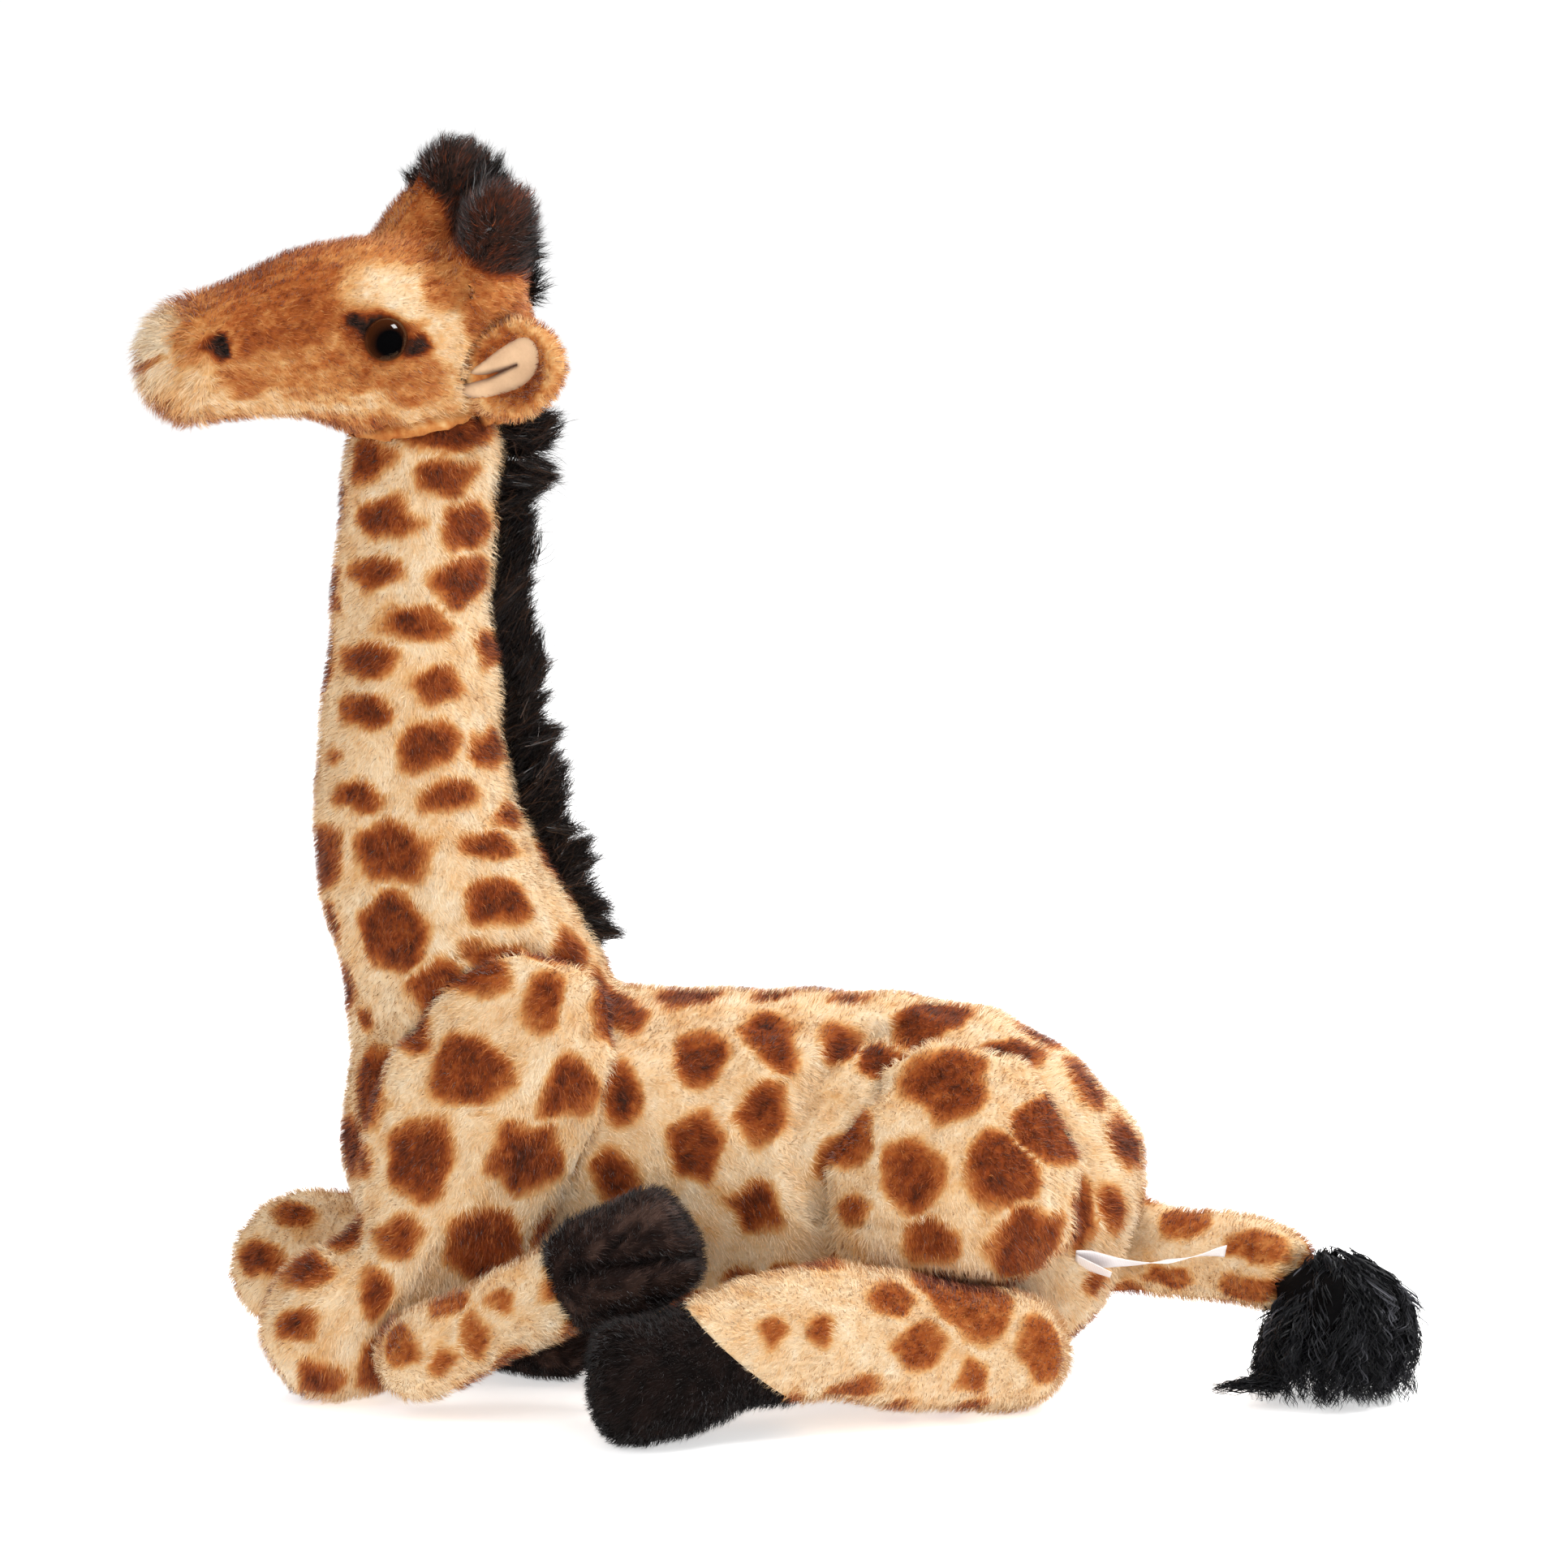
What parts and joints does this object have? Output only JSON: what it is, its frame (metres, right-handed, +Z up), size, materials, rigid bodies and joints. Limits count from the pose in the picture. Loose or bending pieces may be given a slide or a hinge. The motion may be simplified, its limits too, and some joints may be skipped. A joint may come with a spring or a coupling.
{
  "type": "plush giraffe",
  "caption": "Stuffed giraffe lying down with folded legs, its head, ears, knees, hocks and tail flexing at their seams.",
  "frame": {"origin": "middle of the toy's bounds, on the floor it lies on", "axes": "+Z up, -X towards the muzzle, -Y towards the side that shows in the picture"},
  "size_m": [0.3716, 0.2268, 0.3693],
  "materials": {
    "spotted_plush": "cream short-pile plush airbrushed with brown spots",
    "head_plush": "orange-brown short-pile plush",
    "dark_fur": "long dark pile",
    "hoof_plush": "dark brown short-pile plush",
    "ear_velour": "short cream velour",
    "eye_plastic": "polished black plastic",
    "washer_plastic": "natural nylon",
    "label_satin": "blank white satin ribbon"
  },
  "bodies": {
    "trunk": {"torso": "spotted_plush", "neck": "spotted_plush", "mane": "dark_fur", "near_front_upper_leg": "spotted_plush", "far_front_upper_leg": "spotted_plush", "near_thigh": "spotted_plush", "far_thigh": "spotted_plush", "sewn_label": "label_satin"},
    "head_body": {"head": "head_plush", "crest": "dark_fur", "near_ossicone": "head_plush", "far_ossicone": "head_plush", "near_ossicone_tip": "dark_fur", "far_ossicone_tip": "dark_fur", "near_eye": "eye_plastic", "far_eye": "eye_plastic", "near_eye_washer": "washer_plastic", "far_eye_washer": "washer_plastic"},
    "near_ear_body": {"near_ear": "head_plush", "near_ear_lining": "ear_velour"},
    "far_ear_body": {"far_ear": "head_plush", "far_ear_lining": "ear_velour"},
    "near_front_lower": {"near_front_lower_leg": "spotted_plush", "near_front_hoof": "hoof_plush"},
    "far_front_lower": {"far_front_lower_leg": "spotted_plush", "far_front_hoof": "hoof_plush"},
    "near_hind_lower": {"near_hind_lower_leg": "spotted_plush", "near_hind_hoof": "hoof_plush"},
    "far_hind_lower": {"far_hind_lower_leg": "spotted_plush", "far_hind_hoof": "hoof_plush"},
    "tail_body": {"tail": "spotted_plush", "tail_tuft": "dark_fur"}
  },
  "joints": [
    {"name": "head_nod", "type": "hinge", "parent": "trunk", "child": "head_body", "pos_m": [-0.1031, 0, 0.27799], "axis": [0, 1, 0], "range_deg": [-12, 15], "stiffness_Nm_per_rad": 0.6},
    {"name": "near_ear_flop", "type": "hinge", "parent": "head_body", "child": "near_ear_body", "pos_m": [-0.08721, -0.02295, 0.30027], "axis": [0, 0, -1], "range_deg": [-15, 25], "stiffness_Nm_per_rad": 0.01},
    {"name": "far_ear_flop", "type": "hinge", "parent": "head_body", "child": "far_ear_body", "pos_m": [-0.10055, 0.01812, 0.30866], "axis": [0, 0, 1], "range_deg": [-15, 25], "stiffness_Nm_per_rad": 0.01},
    {"name": "near_knee", "type": "hinge", "parent": "trunk", "child": "near_front_lower", "pos_m": [-0.1036, -0.06403, 0.019], "axis": [0, -1, 0], "range_deg": [0, 30]},
    {"name": "far_knee", "type": "hinge", "parent": "trunk", "child": "far_front_lower", "pos_m": [-0.1256, 0.03303, 0.0137], "axis": [0, 0, 1], "range_deg": [0, 36]},
    {"name": "near_hock", "type": "hinge", "parent": "trunk", "child": "near_hind_lower", "pos_m": [0.06749, -0.054, 0.018], "axis": [0, 0, 1], "range_deg": [0, 32]},
    {"name": "far_hock", "type": "hinge", "parent": "trunk", "child": "far_hind_lower", "pos_m": [0.06749, 0.054, 0.018], "axis": [0, 0, -1], "range_deg": [0, 32]},
    {"name": "tail_swing", "type": "hinge", "parent": "trunk", "child": "tail_body", "pos_m": [0.09838, 0, 0.03748], "axis": [0, 0, 1], "range_deg": [-4, 60]}
  ]
}
